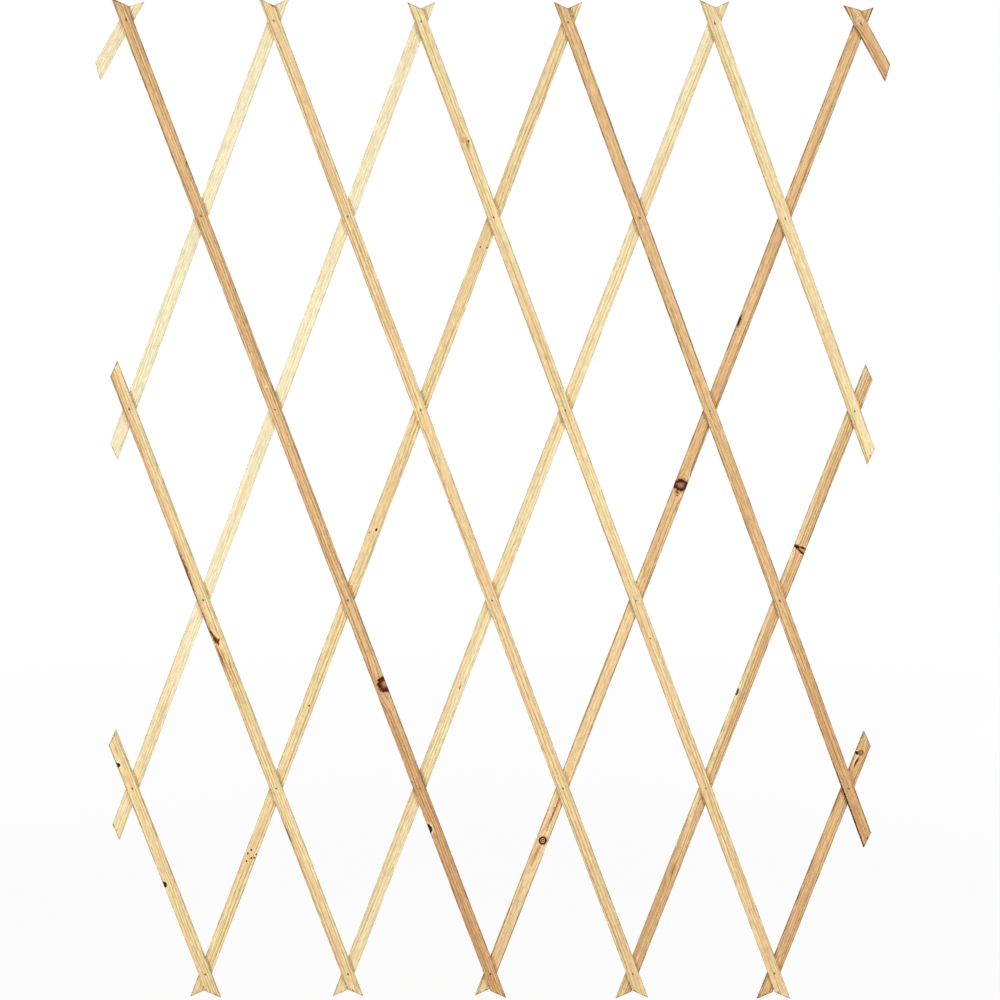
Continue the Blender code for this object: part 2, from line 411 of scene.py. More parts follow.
def slat_tree():
    """The whole slat: a bar with slanted ends, cut at its pins, then leaned into place."""
    tree, given = new_group("slat", "GeometryNodeTree", SLAT_INPUTS, {"Slat": "Geometry"})
    bar = shape_ends(tree, given, sweep_bar(tree, given))
    holes = add(tree, "GeometryNodeInstanceOnPoints",
                {"Points": given["Pins"], "Instance": pin_hole(tree, given)})
    holes = add(tree, "GeometryNodeRealizeInstances", {"Geometry": holes})
    slat = add(tree, "GeometryNodeMeshBoolean", {"Mesh 1": bar, "Mesh 2": holes, "Self Intersection": True},
               operation="DIFFERENCE", solver="EXACT")
    slat = keep_crisp(tree, slat, SLAT_CRISP)
    slat = add(tree, "GeometryNodeStoreNamedAttribute",
               {"Geometry": slat, "Name": "board", "Value": add(tree, "GeometryNodeInputPosition")},
               data_type="FLOAT_VECTOR")
    lean = add(tree, "CombineXYZ", {1: given["Lean"]})
    slat = add(tree, "GeometryNodeTransform",
               {"Geometry": slat, "Rotation": lean, "Translation": given["Place"]})
    slat = add(tree, "GeometryNodeRealizeInstances", {"Geometry": slat})
    slat = add(tree, "GeometryNodeSetMaterial", {"Geometry": slat, "Material": given["Wood"]})
    add(tree, "NodeGroupOutput", {0: slat})
    return tree


def grow(name, tree, points, values):
    """Run a tree on a few points and keep what it makes as a plain mesh."""
    mesh = bpy.data.meshes.new(name)
    mesh.from_pydata(points, [], [])
    made = bpy.data.objects.new(name, mesh)
    bpy.context.scene.collection.objects.link(made)
    modifier = made.modifiers.new(tree.name, "NODES")
    modifier.node_group = tree
    for item in tree.interface.items_tree:
        if item.in_out == "INPUT" and item.name in values:
            modifier[item.identifier] = values[item.name]
    grown = made.evaluated_get(bpy.context.evaluated_depsgraph_get())
    result = bpy.data.meshes.new_from_object(grown)
    made.modifiers.clear()
    made.data = result
    result.name = name
    return made


print("slat tree ready")

# %% [markdown]
# Growth rings.
# Pine shows its growth rings: wide pale spring wood, and a thin amber line of summer wood where
# each year's growth ends, a few millimetres apart. A lath sawn along the log shows them as long
# stripes. The pattern follows the wood itself: it measures how far each point lies from the
# heart of the log, a line beside the slat, and colours that distance year by year. So the
# stripes run on over the edges and turn into arcs on the sawn ends. A wave texture could draw
# stripes too, but they would be even, and a real log has fat and lean years. Five noises drawn
# out along the grain lie over the rings, each with its rate per millimetre, its detail, the
# part of the noise that counts and what that is spread to. Real resin canals and fibres are
# finer than a pixel, so they are drawn a millimetre wide or more.

# %% A group for growth rings
LONG_WAVE = 190.0
SWAY = 3.2
YEAR = ((0.0, 0.20), (0.07, 0.0), (0.45, 0.08), (0.76, 0.40), (0.90, 1.0), (1.0, 0.20))
YEAR_LUCK = (0.3, 1.4)
Pattern = namedtuple("Pattern", "rate detail low high least most")
MOTTLE = Pattern((0.45, 0.45, 0.16), 2.0, 0.35, 0.65, -0.16, 0.16)
STREAKS = Pattern((0.6, 0.6, 0.004), 2.0, 0.3, 0.7, -0.45, 0.52)
BLUSH = Pattern((0.10, 0.10, 0.009), 1.0, 0.5, 0.75, 0.0, 0.6)
CANALS = Pattern((1.0, 1.0, 0.05), 1.0, 0.6, 0.72, 1.0, 0.7)
FIBRE = Pattern((0.6, 0.6, 0.08), 3.0, 0.3, 0.7, 0.85, 1.12)


def along_grain(tree, place, shift, pattern):
    """One pattern of noise, drawn out along the grain."""
    place = add(tree, "VectorMath", {0: place, 1: pattern.rate, 2: shift}, operation="MULTIPLY_ADD")
    noise = add(tree, "TexNoise", {"Vector": place, "Scale": 1.0, "Detail": pattern.detail})
    return add(tree, "MapRange", {0: noise, 1: pattern.low, 2: pattern.high,
                                  3: pattern.least, 4: pattern.most})


def ring_group():
    """Colour of the wood at a place in millimetres, and how far it is summer wood."""
    tree, given = new_group(
        "growth rings", "ShaderNodeTree",
        {"Place": "Vector", "Heart": "Vector", "Spacing": "Float", "Run-out": "Float", "Seed": "Float",
         "Spring": "Color", "Summer": "Color", "Blush": "Color"},
        {"Wood": "Color", "Summer Wood": "Float"})
    x, y, z = add(tree, "SeparateXYZ", {0: given["Place"]}).node.outputs
    wave = add(tree, "Math", {0: z, 1: 1.0 / LONG_WAVE, 2: given["Seed"]}, operation="MULTIPLY_ADD")
    sway = add(tree, "TexNoise", {"W": wave, "Scale": 1.0, "Detail": 2.5}, noise_dimensions="1D")
    sway = add(tree, "MapRange", {0: sway, 3: -SWAY, 4: SWAY})
    x = add(tree, "Math", {0: z, 1: given["Run-out"], 2: x}, operation="MULTIPLY_ADD")
    x = add(tree, "Math", {0: x, 1: sway}, operation="ADD")
    flat = add(tree, "CombineXYZ", {0: x, 1: y})
    radius = add(tree, "VectorMath", {0: flat, 1: given["Heart"]}, operation="DISTANCE")
    radius = radius.node.outputs["Value"]
    years = add(tree, "Math", {0: radius, 1: given["Spacing"]}, operation="DIVIDE")
    year = add(tree, "Math", {0: years}, operation="FLOOR")
    season = add(tree, "Math", {0: years}, operation="FRACT")
    growth = add(tree, "FloatCurve", {"Value": season})
    fill_curve(growth, YEAR)
    luck = add(tree, "Math", {0: year, 1: given["Seed"]}, operation="ADD")
    luck = add(tree, "TexWhiteNoise", {"W": luck}, noise_dimensions="1D")
    least, most = YEAR_LUCK
    luck = add(tree, "MapRange", {0: luck, 3: least, 4: most})
    shift = add(tree, "CombineXYZ", {2: given["Seed"]})
    mottle, streaks, patch, canals, fibre = (along_grain(tree, given["Place"], shift, pattern)
                                             for pattern in (MOTTLE, STREAKS, BLUSH, CANALS, FIBRE))
    summer = add(tree, "Math", {0: growth, 1: luck, 2: mottle}, operation="MULTIPLY_ADD")
    summer = add(tree, "Math", {0: summer, 1: streaks}, operation="ADD", use_clamp=True)
    wood = add(tree, "Mix", {"Factor": summer, "A": given["Spring"], "B": given["Summer"]},
               data_type="RGBA")
    wood = add(tree, "Mix", {"Factor": patch, "A": wood, "B": given["Blush"]}, data_type="RGBA")
    value = add(tree, "Math", {0: fibre, 1: canals}, operation="MULTIPLY")
    wood = add(tree, "HueSaturation", {"Value": value, "Color": wood})
    add(tree, "NodeGroupOutput", {"Wood": wood, "Summer Wood": summer})
    return tree


growth_rings = ring_group()
print("growth rings:", len(growth_rings.nodes), "nodes")

# %% [markdown]
# Knots.
# A knot is the foot of a branch, which the saw has cut across. The stem's grain parts and
# flows round it, so each knot does two things: one group pulls the grain's coordinates towards
# the knot's middle, which makes the rings bulge round it, and another paints its face, from the
# dark rim to the pink heart. A knot's face is one colour ramp over the distance from its middle,
# counted so that 1 is its rim, and a little noise keeps that rim from being a perfect oval. A
# dead knot is black and has a pale rim, a pin knot is a dot, and a streak of resin is a knot
# drawn out along the grain.

# %% Groups for knots
RAMP_REACH = 2.0
RIM_RATE = 0.45
RIM_NOISE = (0.3, 0.7)
PULL_REACH = (1.7, 1.0, 2.6)
PULL_SHARE = 0.8
THROUGH = 1000.0
KNOT_INPUTS = {"Place": "Vector", "Centre": "Vector", "Radii": "Vector", "Turn": "Float"}
KNOT_FACES = {
    "red": (0.16, ((0.0, "#8e5638", 1.0), (0.2, "#c2926a", 1.0), (0.34, "#97593a", 1.0),
                   (0.5, "#84482c", 1.0), (0.64, "#561f0f", 1.0), (0.88, "#3d1508", 1.0),
                   (1.0, "#5c2c14", 1.0), (1.1, "#d9a878", 0.8), (1.3, "#cf9a66", 0.35),
                   (1.8, "#cf9a66", 0.0))),
    "grey": (0.2, ((0.0, "#b58c74", 1.0), (0.2, "#a0745c", 1.0), (0.46, "#8c5a42", 1.0),
                   (0.64, "#54271a", 1.0), (0.86, "#321106", 1.0), (1.0, "#48200f", 1.0),
                   (1.12, "#a8683a", 0.75), (1.4, "#cf9a66", 0.35), (1.8, "#cf9a66", 0.0))),
    "live": (0.12, ((0.0, "#bd8c62", 0.9), (0.5, "#a06c46", 0.95), (0.82, "#7a4a2c", 0.95),
                    (1.0, "#8a5a36", 0.8), (1.3, "#c29360", 0.0))),
    "eye": (0.05, ((0.0, "#e8cdb4", 1.0), (0.16, "#dcb08c", 1.0), (0.26, "#46200f", 1.0),
                   (0.40, "#4e2614", 1.0), (0.50, "#dcae84", 1.0), (0.60, "#d09c72", 1.0),
                   (0.68, "#2f1207", 1.0), (1.02, "#2c1006", 1.0), (1.12, "#b07a4a", 0.8),
                   (1.3, "#cfa06a", 0.4), (1.7, "#cfa06a", 0.0))),
    "dead": (0.16, ((0.0, "#241004", 1.0), (0.78, "#2b1506", 1.0), (0.98, "#5a3616", 1.0),
                    (1.14, "#f7ebbf", 0.8), (1.55, "#f7ebbf", 0.0))),
    "spike": (0.38, ((0.0, "#1e0702", 1.0), (0.7, "#351107", 1.0), (0.95, "#7d3c1a", 0.9),
                     (1.2, "#c07c3e", 0.5), (1.7, "#c78a4e", 0.0))),
    "pin": (0.18, ((0.0, "#382209", 1.0), (0.7, "#5f3f1c", 1.0), (1.0, "#a67c46", 0.7),
                   (1.3, "#f4e2ae", 0.4), (1.9, "#f4e2ae", 0.0))),
    "ringed": (0.16, ((0.0, "#80572f", 0.75), (0.18, "#c4935f", 0.3), (0.36, "#80572f", 0.75),
                      (0.54, "#d0a06a", 0.3), (0.74, "#8c623a", 0.65), (0.92, "#d0a06a", 0.25),
                      (1.1, "#946a40", 0.35), (1.4, "#cfa06a", 0.0))),
    "arc": (0.16, ((0.0, "#f2dab0", 0.0), (0.66, "#f2dab0", 0.0), (0.82, "#f2dab0", 0.8),
                   (1.0, "#f2dab0", 0.7), (1.16, "#b98655", 0.3), (1.3, "#b98655", 0.0))),
    "amber": (0.15, ((0.0, "#b06f34", 0.75), (0.6, "#bd8246", 0.6), (1.0, "#d3a468", 0.0))),
    "pale": (0.10, ((0.0, "#fff0c4", 0.95), (0.7, "#fbe2ac", 0.8), (1.3, "#f0d09a", 0.0))),
    "stain": (0.25, ((0.0, "#b07c44", 0.6), (0.7, "#ba8850", 0.5), (1.2, "#c39a62", 0.0))),
    "heart": (0.20, ((0.0, "#cf9f68", 0.75), (0.7, "#d0a16b", 0.7), (1.1, "#d4a874", 0.0))),
    "resin": (0.30, ((0.0, "#7c3f16", 0.9), (0.5, "#965625", 0.75), (1.0, "#c18a50", 0.0))),
    "bark": (0.30, ((0.0, "#331705", 1.0), (0.6, "#4c260d", 1.0), (1.0, "#8c5a2a", 0.65),
                    (1.4, "#a87c4c", 0.0))),
}


def pull_group():
    """Pull a place towards a knot's middle, so that the grain drawn there parts round the knot."""
    tree, given = new_group("grain round a knot", "ShaderNodeTree", KNOT_INPUTS, {"Place": "Vector"})
    reach = add(tree, "VectorMath", {0: given["Radii"], 1: PULL_REACH}, operation="MULTIPLY")
    turn = add(tree, "CombineXYZ", {1: given["Turn"]})
    local = add(tree, "Mapping", {"Vector": given["Place"], "Location": given["Centre"],
                                  "Rotation": turn, "Scale": reach}, vector_type="TEXTURE")
    square = add(tree, "VectorMath", {0: local, 1: local}, operation="DOT_PRODUCT")
    fade = add(tree, "Math", {0: square.node.outputs["Value"], 1: -1.0}, operation="MULTIPLY")
    fade = add(tree, "Math", {0: fade}, operation="EXPONENT")
    fade = add(tree, "Math", {0: fade, 1: PULL_SHARE}, operation="MULTIPLY")
    away = add(tree, "VectorMath", {0: given["Centre"], 1: given["Place"]}, operation="SUBTRACT")
    away = add(tree, "VectorMath", {0: away, 1: (1.0, 0.0, 0.0)}, operation="MULTIPLY")
    move = add(tree, "VectorMath", {0: away, "Scale": fade}, operation="SCALE")
    place = add(tree, "VectorMath", {0: given["Place"], 1: move}, operation="ADD")
    add(tree, "NodeGroupOutput", {0: place})
    return tree


def face_group(kind, rough, stops):
    """Paint a knot's face over the wood, from its middle to past its rim."""
    tree, given = new_group(f"{kind} knot", "ShaderNodeTree",
                            {"Wood": "Color", **KNOT_INPUTS}, {"Wood": "Color"})
    turn = add(tree, "CombineXYZ", {1: given["Turn"]})
    local = add(tree, "Mapping", {"Vector": given["Place"], "Location": given["Centre"],
                                  "Rotation": turn, "Scale": given["Radii"]}, vector_type="TEXTURE")
    reach = add(tree, "VectorMath", {0: local}, operation="LENGTH").node.outputs["Value"]
    low, high = RIM_NOISE
    noise = add(tree, "TexNoise", {"Vector": given["Place"], "Scale": RIM_RATE, "Detail": 2.0})
    noise = add(tree, "MapRange", {0: noise, 1: low, 2: high, 3: -rough, 4: rough})
    reach = add(tree, "Math", {0: reach, 1: noise}, operation="ADD")
    reach = add(tree, "Math", {0: reach, 1: RAMP_REACH}, operation="DIVIDE")
    ramp = add(tree, "ValToRGB", {0: reach})
    fill_ramp(ramp, [(place / RAMP_REACH, code, cover) for place, code, cover in stops])
    wood = add(tree, "Mix", {"Factor": ramp.node.outputs["Alpha"], "A": given["Wood"], "B": ramp},
               data_type="RGBA")
    add(tree, "NodeGroupOutput", {0: wood})
    return tree


knot_pull = pull_group()
knot_faces = {kind: face_group(kind, rough, stops) for kind, (rough, stops) in KNOT_FACES.items()}
print("knots:", ", ".join(knot_faces))

# %% [markdown]
# Edges, ends and pins.
# Some shade and some marks go on top of the grain. The long edges carry a painted shade, darkest where the
# arris turns, here more and there less. The raw ends turn brown, partly as painted shade and partly as dirt
# soaked into the end grain, and round each pin the wood is darkened along the grain, partly as painted shade
# in the dent and partly as a rust stain. Every slat has pins at the same spacing, so one oval, wrapped at
# that spacing, draws that mark at all of them, and a random number for each pin makes some faint and some
# dark, a little to one side or the other.

# %% A group for painted edge shade, dark ends and pin marks
# Painted shade along the long edges: how far in it reaches, how it fades down the sides, and how it varies
# along each edge.
EDGE_BAND = (1.9, 0.3)
ARRIS_SHADE_BAND = (1.4, 0.5)
ARRIS_SHADE_LEAST = 0.25
EDGE_SIDES_APART = 5.0
EDGE_SHADE_RATE = 0.03
EDGE_SHADE_NOISE = (0.38, 0.62)
EDGE_SHADE_LEAST = 0.04
# Sawn ends, darkened partly as painted shade and partly as dirt in the end grain.
END_SHADE_AND_STAIN = 0.85
# The mark round each pin: partly painted shade in the dent, partly a rust stain.
PIN_SHADE_AND_RUST = (1.1, 2.3)
PIN_SHADE_AND_RUST_RIM = (0.7, 1.3)
PIN_SHADE_AND_RUST_MOST = 0.75
PIN_SHADE_AND_RUST_ASIDE = (0.7, -0.5)
PIN_SHADE_AND_RUST_BROWN = "#5b3c22"


def marks_group():
    """Paint shade on the long edges, and darken the sawn ends and the wood round each pin, partly as painted
    shade.
    """
    tree, given = new_group(
        "edges, ends and pin marks", "ShaderNodeTree",
        {"Wood": "Color", "Place": "Vector", "Sawn": "Float", "Edge": "Float", "Edge Brown": "Color",
         "Seed": "Float"}, {"Wood": "Color"})
    x, y, z = add(tree, "SeparateXYZ", {0: given["Place"]}).node.outputs
    half = WIDTH / MM / 2
    side = add(tree, "Math", {0: x}, operation="ABSOLUTE")
    # Painted shade along the long edges, strongest at the arris and uneven along the slat.
    band, rim = EDGE_BAND
    edge = add(tree, "MapRange", {0: side, 1: half - band, 2: half - rim})
    deep = add(tree, "Math", {0: y}, operation="ABSOLUTE")
    face = THICKNESS / MM / 2
    inner, outer = ARRIS_SHADE_BAND
    arris_shade = add(tree, "MapRange",
                 {0: deep, 1: face - inner, 2: face - outer, 3: ARRIS_SHADE_LEAST, 4: 1.0})
    edge = add(tree, "Math", {0: edge, 1: arris_shade}, operation="MULTIPLY")
    hand = add(tree, "Math", {0: x}, operation="SIGN")
    hand = add(tree, "Math", {0: hand, 1: EDGE_SIDES_APART, 2: given["Seed"]}, operation="MULTIPLY_ADD")
    edge_shade_spread = add(tree, "Math", {0: z, 1: EDGE_SHADE_RATE, 2: hand}, operation="MULTIPLY_ADD")
    edge_shade_spread = add(tree, "TexNoise", {"W": edge_shade_spread, "Scale": 1.0, "Detail": 3.0}, noise_dimensions="1D")
    low, high = EDGE_SHADE_NOISE
    edge_shade_spread = add(tree, "MapRange", {0: edge_shade_spread, 1: low, 2: high, 3: EDGE_SHADE_LEAST, 4: given["Edge"]})
    edge = add(tree, "Math", {0: edge, 1: edge_shade_spread}, operation="MULTIPLY")
    # The sawn ends: partly painted shade, partly dirt in the end grain.
    end = add(tree, "Math", {0: given["Sawn"], 1: END_SHADE_AND_STAIN}, operation="MULTIPLY")
    edges_and_ends_dark = add(tree, "Math", {0: edge, 1: end}, operation="MAXIMUM")
    wood = add(tree, "Mix", {"Factor": edges_and_ends_dark, "A": given["Wood"], "B": given["Edge Brown"]},
               data_type="RGBA")
    # From here on, the mark round each pin: partly painted shade in the dent, partly a rust stain.
    pitch = PITCH / MM
    near = add(tree, "Math", {0: z, 1: pitch / 2, 2: -pitch / 2}, operation="WRAP")
    pin = add(tree, "Math", {0: z, 1: pitch}, operation="DIVIDE")
    pin = add(tree, "Math", {0: pin}, operation="ROUND")
    pin = add(tree, "Math", {0: pin, 1: given["Seed"]}, operation="ADD")
    luck = add(tree, "TexWhiteNoise", {"W": pin}, noise_dimensions="1D")
    strength = add(tree, "MapRange", {0: luck, 3: 0.0, 4: PIN_SHADE_AND_RUST_MOST})
    faint, dark = PIN_SHADE_AND_RUST_ASIDE
    aside = add(tree, "MapRange", {0: luck, 3: faint, 4: dark})
    aside = add(tree, "Math", {0: x, 1: aside}, operation="ADD")
    wide, long = PIN_SHADE_AND_RUST
    oval = add(tree, "CombineXYZ", {0: aside, 2: near})
    oval = add(tree, "VectorMath", {0: oval, 1: (1 / wide, 0.0, 1 / long)}, operation="MULTIPLY")
    oval = add(tree, "VectorMath", {0: oval}, operation="LENGTH").node.outputs["Value"]
    inner, outer = PIN_SHADE_AND_RUST_RIM
    mark = add(tree, "MapRange", {0: oval, 1: inner, 2: outer, 3: strength, 4: 0.0})
    wood = add(tree, "Mix", {"Factor": mark, "A": wood, "B": linear(PIN_SHADE_AND_RUST_BROWN)},
               data_type="RGBA")
    add(tree, "NodeGroupOutput", {0: wood})
    return tree


shade_and_marks = marks_group()
print("marks ready")

# %% [markdown]
# Sixteen boards.
# Each slat was sawn from another board, so each has its own tone, from cream sapwood to russet heartwood, its
# own rings and its own knots. The tones are a few named woods, and where the saw crossed from one wood into
# the other, a board has two of them. The first lies to the right of a slanting border. At a row of rivets
# that border is some millimetres across from the middle line, and with each millimetre up it moves left by
# its slope, so a large slope parts the top of a slat from its foot. The knots are listed as a joiner would
# mark them on a cutting list: what kind, how far down the lattice, counted in rows of rivets from the top,
# how far across from the middle line, and how wide and long from middle to rim, in millimetres, and a turn in
# degrees where there is one.

# %% Tones and knots of the boards
# A tone's edge_brown is the brown of its darkened edges and ends, and edge is how strongly its long edges
# take the painted shade.
Tone = namedtuple("Tone", "spring summer blush edge_brown edge")
TONES = {
    "cream": Tone("#fff5d0", "#ebd4a3", "#f9e0b4", "#cfae77", 0.45),
    "straw": Tone("#ffecbd", "#d2b57d", "#f2ce9c", "#a98249", 0.55),
    "gold": Tone("#fde5b0", "#c8a86f", "#edc592", "#8f6937", 0.65),
    "honey": Tone("#fcdfab", "#bb9660", "#e9bd8c", "#7f5b30", 0.6),
    "tan": Tone("#f0c993", "#a57a4b", "#dba878", "#694623", 0.85),
    "russet": Tone("#e6b883", "#9c6e43", "#cd9363", "#5a381b", 0.9),
}
Board = namedtuple("Board", "first second row across slope", defaults=(0.0, 0.0, 0.0))
BOARDS = {
    "front_slat_1": Board("gold", "gold"),
    "front_slat_2": Board("gold", "tan", 2.5, -2.0, -0.0095),
    "front_slat_3": Board("tan", "russet", 3.5, 0.0, 0.06),
    "front_slat_4": Board("honey", "honey"),
    "front_slat_5": Board("gold", "honey", 3.0, 0.0, 0.1),
    "front_slat_6": Board("russet", "tan", 3.5, -2.0, -0.03),
    "front_slat_7": Board("straw", "gold"),
    "front_slat_8": Board("tan", "tan"),
    "back_slat_1": Board("cream", "cream"),
    "back_slat_2": Board("cream", "cream"),
    "back_slat_3": Board("cream", "straw", 3.4, 0.0, 0.1),
    "back_slat_4": Board("gold", "gold"),
    "back_slat_5": Board("straw", "cream", 0.5, -2.0, -0.02),
    "back_slat_6": Board("tan", "honey", 2.95, 0.0, 0.2),
    "back_slat_7": Board("tan", "straw", 2.0, -4.0, 0.002),
    "back_slat_8": Board("russet", "tan", 0.0, 3.5),
}
Knot = namedtuple("Knot", "kind row across wide long turn", defaults=(0,))
KNOTS = {
    "front_slat_1": (("dead", 3.866, -6.8, 3.2, 3.4), ("dead", 4.505, -6.6, 3.0, 4.0, 10)),
    "front_slat_2": (("bark", 2.86, -7.8, 1.5, 36.0), ("resin", 2.82, -5.6, 2.0, 24.0, -2),
                     ("resin", 3.09, -7.2, 1.6, 16.0), ("resin", 3.285, -5.4, 1.5, 20.0),
                     ("amber", 3.34, -1.4, 1.2, 42.0, -2), ("amber", 3.38, 2.4, 1.0, 40.0, -2),
                     ("bark", 3.18, -5.0, 1.5, 12.0, -12), ("spike", 3.208, -3.4, 2.6, 5.4, -8),
                     ("spike", 3.214, -1.4, 3.4, 1.1, -35), ("spike", 3.200, -3.6, 3.2, 1.0, 30),
                     ("resin", 4.24, -7.0, 1.6, 22.0)),
    "front_slat_3": (("resin", 0.74, 6.5, 1.6, 6.0, 15), ("pale", 1.88, -0.7, 2.0, 2.3),
                     ("red", 3.452, 6.6, 10.2, 10.6, 15), ("dead", 4.204, -8.4, 4.8, 7.2)),
    "front_slat_5": (("ringed", 0.60, -2.2, 3.0, 3.6), ("pin", 0.614, 3.4, 1.4, 1.8),
                     ("stain", 0.63, 1.0, 3.0, 5.0), ("pin", 3.20, 0.0, 0.9, 1.3)),
    "front_slat_6": (("bark", 4.12, -7.6, 1.2, 72.0),),
    "front_slat_8": (("arc", -0.016, 0.8, 4.8, 5.2),),
    "back_slat_4": (("pin", 1.157, -2.6, 1.1, 1.4), ("pin", 1.149, 6.2, 1.0, 1.5),
                    ("pin", 2.627, 2.2, 1.5, 2.3), ("pin", 2.653, -5.4, 1.0, 1.2),
                    ("pin", 3.56, 2.0, 1.2, 1.6), ("pin", 4.336, -2.0, 1.3, 1.6),
                    ("pin", 4.358, -4.2, 1.3, 1.6), ("pin", 4.348, 6.8, 1.1, 1.6),
                    ("pin", 4.374, 2.2, 1.4, 1.7), ("pin", 4.368, 5.6, 1.2, 1.5),
                    ("pin", 4.397, -2.4, 1.3, 1.6)),
    "back_slat_5": (("resin", 3.46, 2.0, 1.4, 5.0),),
    "back_slat_6": (("bark", -0.08, 7.8, 1.1, 10.0),
                    ("bark", 1.543, -6.8, 2.1, 9.0), ("grey", 2.392, 0.1, 9.8, 7.4),
                    ("spike", 2.432, -1.6, 2.6, 0.9, 10), ("spike", 2.446, 0.8, 1.6, 0.8, -20),
                    ("resin", 4.14, 0.8, 2.0, 36.0, 1), ("amber", 4.355, -0.8, 3.4, 24.0, 3),
                    ("eye", 4.283, 0.8, 5.0, 5.2)),
    "back_slat_7": (("heart", 4.62, -4.8, 5.4, 130.0),
                    ("stain", 2.729, 4.0, 5.0, 2.6, 10), ("spike", 2.718, 1.6, 11.0, 1.2),
                    ("spike", 2.737, 2.0, 11.0, 1.3, 22), ("spike", 2.722, -5.2, 4.6, 2.2, 8),
                    ("dead", 3.498, -7.4, 1.6, 5.2), ("ringed", 4.44, 0.0, 3.8, 7.0)),
    "back_slat_8": (("dead", 3.822, -6.0, 2.5, 2.6), ("live", 3.815, -1.0, 3.6, 3.8),
                    ("pale", 3.863, -4.6, 1.6, 7.5, 6), ("bark", 3.865, -2.2, 1.4, 7.5, 6)),
}
print("boards:", len(BOARDS), "in", len(TONES), "tones,", sum(map(len, KNOTS.values())), "knots")

# %% [markdown]
# Pine.
# Bare sawn pine is a soft, dry wood: it scatters light, and only the denser summer lines have a slight sheen
# and stand a hair proud. So the shader is rough, a little less so on those lines, with a very shallow relief.
# The colour comes from the groups in this order: rings first, then knots, then the painted shade of the long
# edges, and the dark sawn ends and pin marks, which are partly painted shade and partly dirt and rust.

# %% Pine, one material for each board
RING_SPACING = (3.2, 4.6)
HEART_ASIDE = (30.0, 75.0)
HEART_BEHIND = (-22.0, 22.0)
RUN_OUT = 0.006
BORDER = 3.0
WOOD_SEED = 10.0
ROUGHNESS = (0.68, 0.55)
SHEEN = 0.08
RELIEF = 0.06 * MM
RELIEF_STRENGTH = 0.5
# How far the sawn ends are darkened, partly as painted shade and partly as dirt, and how unevenly.
END_SHADE_AND_STAIN_DEPTH = (0.9, 2.4)
END_SHADE_AND_STAIN_SEED = 20.0
END_REACH_RATE = (0.25, 0.05)
END_REACH_NOISE = (0.35, 0.65)
END_REACH_RANGE = (0.5, 2.6)


def end_shade_and_stain(tree, slat, number, x, z):
    """1 on a sawn end, fading to 0 a little way into the wood, further here and less there; the ends are
    darkened by it, partly as painted shade and partly as dirt in the end grain.
    """
    half = WIDTH / MM / 2
    gaps = []
    for word in ("Upper", "Lower"):
        left, right = (slat.corners[f"{word} {hand}"] / MM for hand in ("Left", "Right"))
        end = add(tree, "MapRange", {0: x, 1: -half, 2: half, 3: left, 4: right}, clamp=False)
        gap = add(tree, "Math", {0: end, 1: z}, operation="SUBTRACT")
        gaps.append(add(tree, "Math", {0: gap}, operation="ABSOLUTE"))
    gap = add(tree, "Math", {0: gaps[0], 1: gaps[1]}, operation="MINIMUM")
    across, along = END_REACH_RATE
    end_reach = add(tree, "Math", {0: z, 1: along, 2: END_SHADE_AND_STAIN_SEED * number}, operation="MULTIPLY_ADD")
    end_reach = add(tree, "Math", {0: x, 1: across, 2: end_reach}, operation="MULTIPLY_ADD")
    end_reach = add(tree, "TexNoise", {"W": end_reach, "Scale": 1.0, "Detail": 2.0}, noise_dimensions="1D")
    low, high = END_REACH_NOISE
    least, most = END_REACH_RANGE
    end_reach = add(tree, "MapRange", {0: end_reach, 1: low, 2: high, 3: least, 4: most})
    gap = add(tree, "Math", {0: gap, 1: end_reach}, operation="MULTIPLY")
    near, far = END_SHADE_AND_STAIN_DEPTH
    return add(tree, "MapRange", {0: gap, 1: near, 2: far, 3: 1.0, 4: 0.0})


